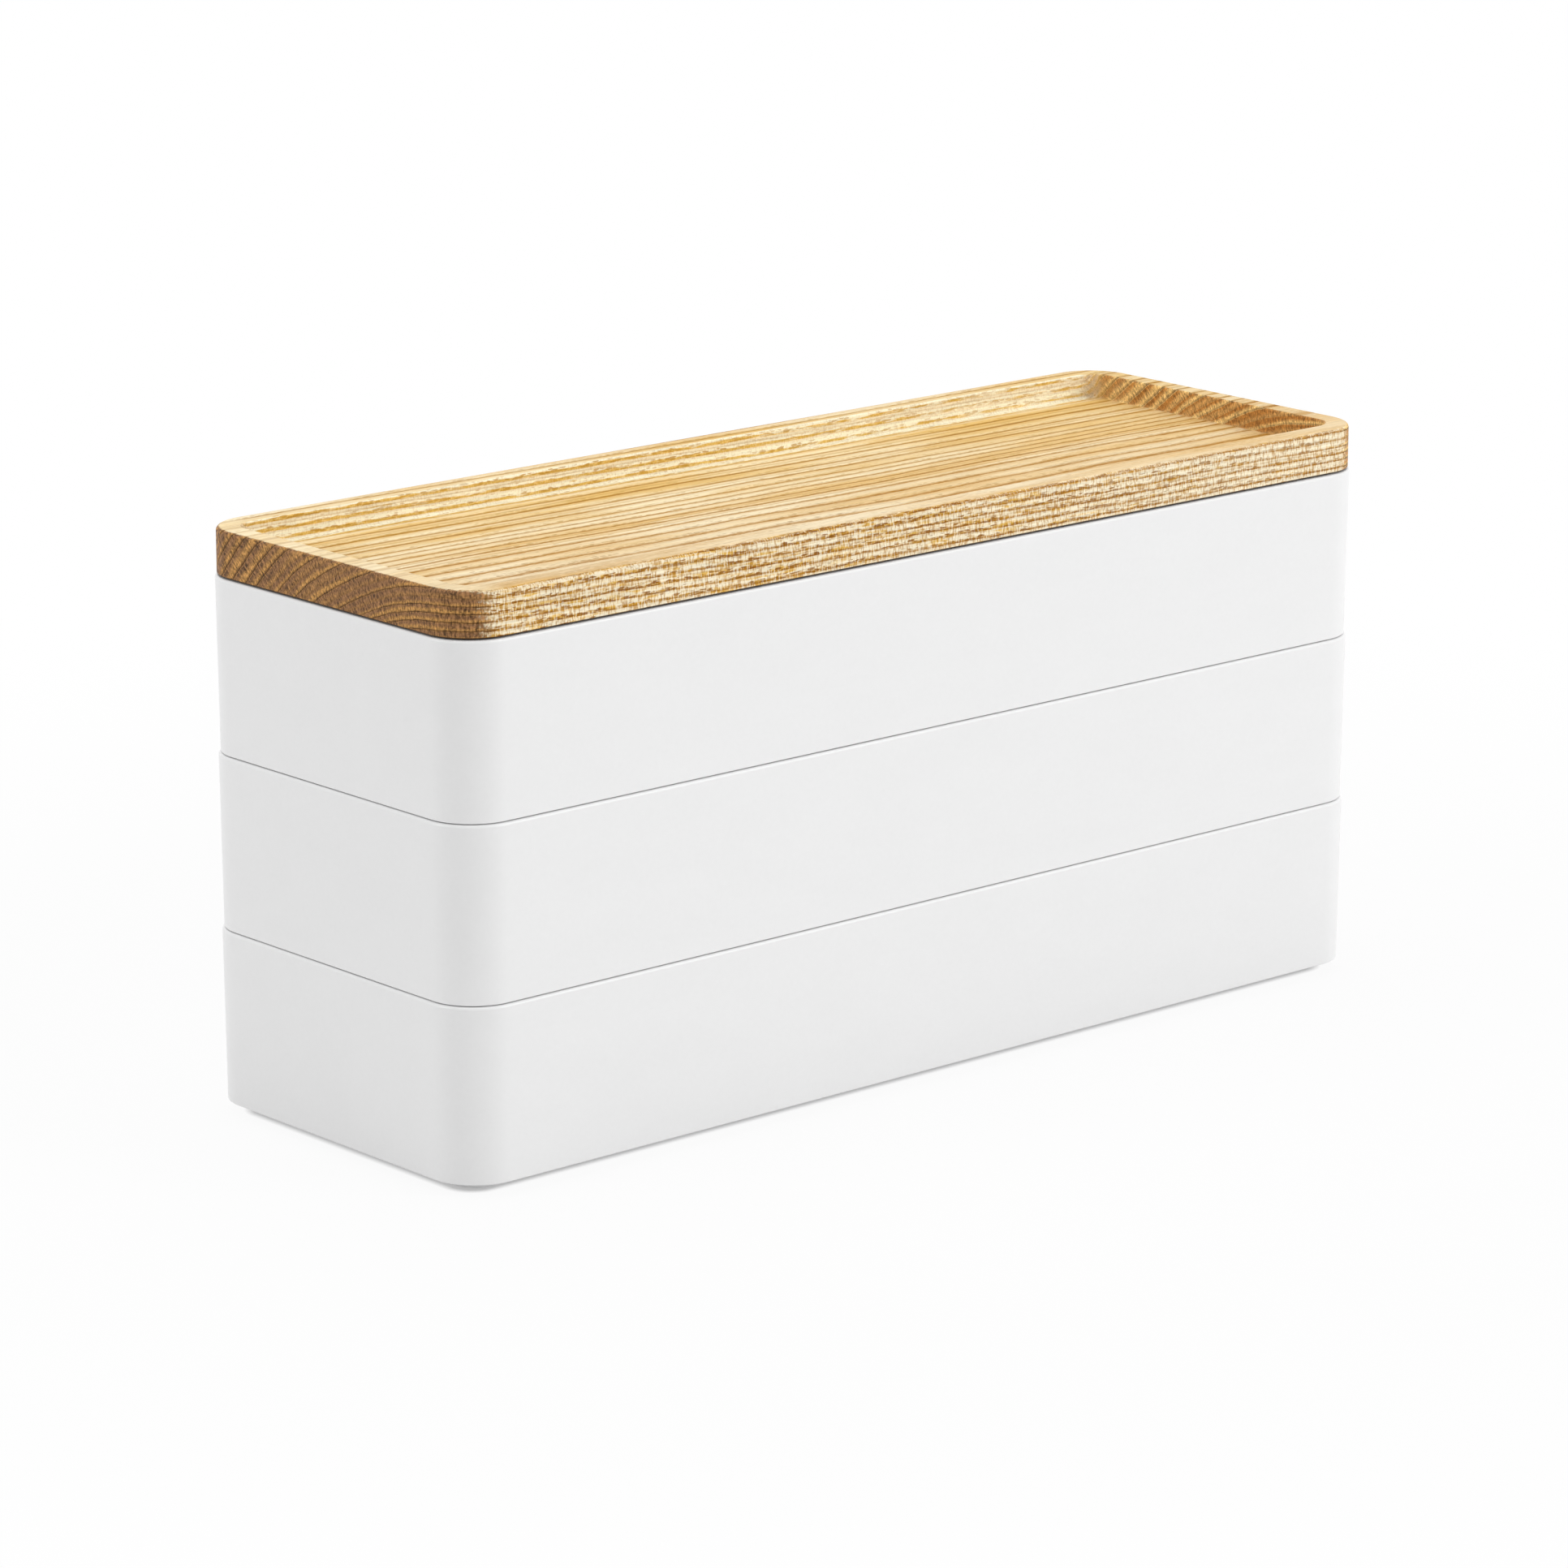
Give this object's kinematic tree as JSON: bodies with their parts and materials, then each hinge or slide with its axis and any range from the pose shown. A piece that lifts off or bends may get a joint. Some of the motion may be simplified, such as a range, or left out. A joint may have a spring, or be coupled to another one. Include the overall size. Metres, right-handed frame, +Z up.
{
  "type": "stackable accessory case",
  "caption": "Long desk case: white moulded trays with rounded corners stacked under a shallow solid ash lid tray; felt-lined compartments, dividers and ring rolls inside.",
  "frame": {"origin": "on the surface the case stands on, under the centre of the case", "axes": "+X along the case's length, +Y towards its back, +Z up; -Y is the front"},
  "size_m": [0.24, 0.082, 0.1167],
  "materials": {
    "white_abs": "satin-gloss moulded",
    "ash": "clear satin oil, straight grain along the case, dark end grain",
    "grey_felt": "pressed wool felt",
    "grey_velour": "short-pile velour over foam",
    "silicone": "matt translucent grey"
  },
  "bodies": {
    "bottom_tier": {"bottom_tier_shell": "white_abs", "bottom_tier_liner": "grey_felt", "bottom_tier_divider": "white_abs", "foot_1": "silicone", "foot_2": "silicone", "foot_3": "silicone", "foot_4": "silicone"},
    "middle_tier": {"middle_tier_shell": "white_abs", "middle_tier_liner": "grey_felt", "middle_tier_long_divider": "white_abs", "middle_tier_cross_divider_1": "white_abs", "middle_tier_cross_divider_2": "white_abs", "middle_tier_cross_divider_3": "white_abs"},
    "top_tier": {"top_tier_shell": "white_abs", "top_tier_liner": "grey_felt", "top_tier_divider_1": "white_abs", "top_tier_divider_2": "white_abs", "ring_roll_1": "grey_velour", "ring_roll_2": "grey_velour", "ring_roll_3": "grey_velour", "ring_roll_4": "grey_velour", "ring_roll_5": "grey_velour"},
    "lid": {"lid_tray": "ash"}
  },
  "joints": [
    {"name": "middle_tier_lift", "type": "slide", "parent": "bottom_tier", "child": "middle_tier", "axis": [0, 0, 1], "range_m": [0, 0.1]},
    {"name": "top_tier_lift", "type": "slide", "parent": "middle_tier", "child": "top_tier", "axis": [0, 0, 1], "range_m": [0, 0.1]},
    {"name": "lid_lift", "type": "slide", "parent": "top_tier", "child": "lid", "axis": [0, 0, 1], "range_m": [0, 0.1]}
  ]
}
